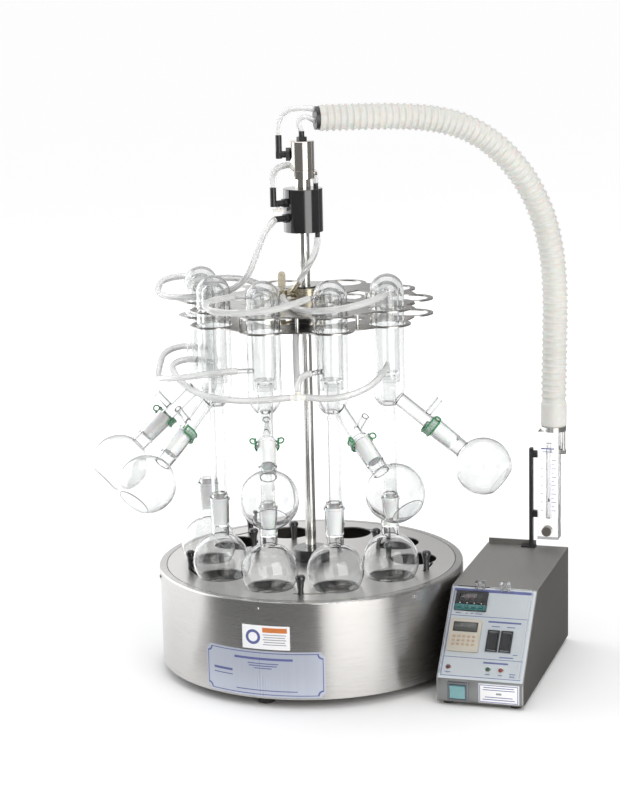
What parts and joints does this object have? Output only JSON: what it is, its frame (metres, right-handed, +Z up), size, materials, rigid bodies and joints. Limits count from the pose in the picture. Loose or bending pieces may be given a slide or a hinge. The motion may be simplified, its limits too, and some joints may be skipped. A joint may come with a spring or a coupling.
{
  "type": "rotary evaporation carousel",
  "caption": "Rotating carousel of glass condensers, flasks and water hoses over a round heated bath, with a bench controller, flowmeter and ribbed hose.",
  "frame": {"origin": "on the bench, at the foot under the axle of the carousel", "axes": "+Z up along the axle, -Y towards the front of the bath, +X towards the controller"},
  "size_m": [0.7163, 0.5472, 0.8379],
  "materials": {
    "brushed_steel": "brushed",
    "tank_steel": "satin",
    "screw_steel": "satin",
    "polished_steel": "polished",
    "nickel": "turned",
    "bronze": "turned",
    "brass": "satin",
    "gloss_black": "glossy",
    "rubber_black": "matte",
    "white_nylon": "satin",
    "clear_hose": "milky clear",
    "ribbed_white": "satin",
    "glass": "clear",
    "clear_acrylic": "clear",
    "clip_green": "satin",
    "panel_grey": "satin",
    "timer_beige": "satin",
    "lamp_red": "glossy",
    "teal": "satin"
  },
  "bodies": {
    "base": {"bath_feet": "rubber_black", "base_plate": "tank_steel", "bath_shell": "brushed_steel", "rim_band": "brushed_steel", "band_screws": "screw_steel", "inner_tank": "tank_steel", "immersion_heater": "tank_steel", "bearing_tube": "tank_steel", "bearing_bush": "bronze", "controller_case": "brushed_steel", "controller_floor": "tank_steel", "control_panel": "panel_grey", "temp_controller": "gloss_black", "timer_module": "timer_beige", "indicator_lamps": "lamp_red", "rear_gland": "gloss_black", "controller_feet": "rubber_black", "cover_hinges": "clear_acrylic", "meter_upright": "screw_steel", "meter_body": "clear_acrylic", "flow_tube": "glass", "meter_fittings": "gloss_black", "union_housing": "nickel", "union_fittings": "white_nylon", "supply_tubes": "clear_hose", "corrugated_hose": "ribbed_white"},
    "carousel": {"post": "polished_steel", "collar": "gloss_black", "lid": "brushed_steel", "lid_knobs": "gloss_black", "holder_plates": "brushed_steel", "holder_spacers": "screw_steel", "hub_clamp": "gloss_black", "hub_fittings": "brass", "line_cross": "white_nylon", "manifold_block": "gloss_black", "manifold_fittings": "white_nylon", "union_rotor": "nickel", "base_flasks": "glass", "joint_clips": "clip_green", "upper_hoses": "clear_hose", "lower_hoses": "clear_hose", "condenser_1": "glass", "condenser_2": "glass", "condenser_3": "glass", "condenser_4": "glass", "condenser_5": "glass"},
    "flip_cover_body": {"flip_cover": "clear_acrylic"},
    "rocker_left_body": {"rocker_left": "gloss_black"},
    "rocker_right_body": {"rocker_right": "gloss_black"},
    "power_rocker_body": {"power_rocker": "teal"},
    "temp_keys_body": {"temp_keys": "gloss_black"},
    "meter_knob_body": {"meter_knob": "gloss_black"},
    "valve_lever_body": {"valve_lever": "brass"},
    "stopcock_handle_body": {"stopcock_handle": "white_nylon"},
    "receiver_1_body": {"receiver_1": "glass"},
    "receiver_2_body": {"receiver_2": "glass"},
    "receiver_3_body": {"receiver_3": "glass"},
    "receiver_4_body": {"receiver_4": "glass"},
    "receiver_5_body": {"receiver_5": "glass"}
  },
  "joints": [
    {"name": "carousel_spin", "type": "hinge", "parent": "base", "child": "carousel", "pos_m": [0, 0, 0.157], "axis": [0, 0, 1], "continuous": true},
    {"name": "cover_flip", "type": "hinge", "parent": "base", "child": "flip_cover_body", "pos_m": [0.26267, -0.14686, 0.15559], "axis": [-0.9537, 0.3007, 0], "range_deg": [0, 100]},
    {"name": "rocker_left_tip", "type": "hinge", "parent": "base", "child": "rocker_left_body", "pos_m": [0.25661, -0.19768, 0.0842], "axis": [0.9537, -0.3007, 0], "range_deg": [-14, 0]},
    {"name": "rocker_right_tip", "type": "hinge", "parent": "base", "child": "rocker_right_body", "pos_m": [0.27521, -0.20355, 0.0842], "axis": [0.9537, -0.3007, 0], "range_deg": [-14, 0]},
    {"name": "power_rocker_tip", "type": "hinge", "parent": "base", "child": "power_rocker_body", "pos_m": [0.20443, -0.22434, 0.0215], "axis": [0.9537, -0.3007, 0], "range_deg": [-14, 0]},
    {"name": "temp_keys_press", "type": "slide", "parent": "base", "child": "temp_keys_body", "axis": [0.2197, 0.6968, -0.6828], "range_m": [0, 0.0006]},
    {"name": "meter_knob_turn", "type": "hinge", "parent": "base", "child": "meter_knob_body", "pos_m": [0.3634, 0.06054, 0.177], "axis": [-0.3007, -0.9537, 0], "range_deg": [0, 720]},
    {"name": "valve_lever_turn", "type": "hinge", "parent": "carousel", "child": "valve_lever_body", "pos_m": [-0.03377, -0.0195, 0.564], "axis": [0, 0, 1], "range_deg": [0, 90]},
    {"name": "stopcock_turn", "type": "hinge", "parent": "carousel", "child": "stopcock_handle_body", "pos_m": [-0.03594, -0.02075, 0.698], "axis": [0, 0, 1], "range_deg": [0, 90]},
    {"name": "receiver_1_draw", "type": "slide", "parent": "carousel", "child": "receiver_1_body", "axis": [-0.7103, -0.287, -0.6428], "range_m": [0, 0.016]},
    {"name": "receiver_2_draw", "type": "slide", "parent": "carousel", "child": "receiver_2_body", "axis": [-0.551, -0.5321, -0.6428], "range_m": [0, 0.016]},
    {"name": "receiver_3_draw", "type": "slide", "parent": "carousel", "child": "receiver_3_body", "axis": [0.0267, -0.7656, -0.6428], "range_m": [0, 0.016]},
    {"name": "receiver_4_draw", "type": "slide", "parent": "carousel", "child": "receiver_4_body", "axis": [0.4716, -0.6037, -0.6428], "range_m": [0, 0.016]},
    {"name": "receiver_5_draw", "type": "slide", "parent": "carousel", "child": "receiver_5_body", "axis": [0.7642, -0.0534, -0.6428], "range_m": [0, 0.016]}
  ]
}
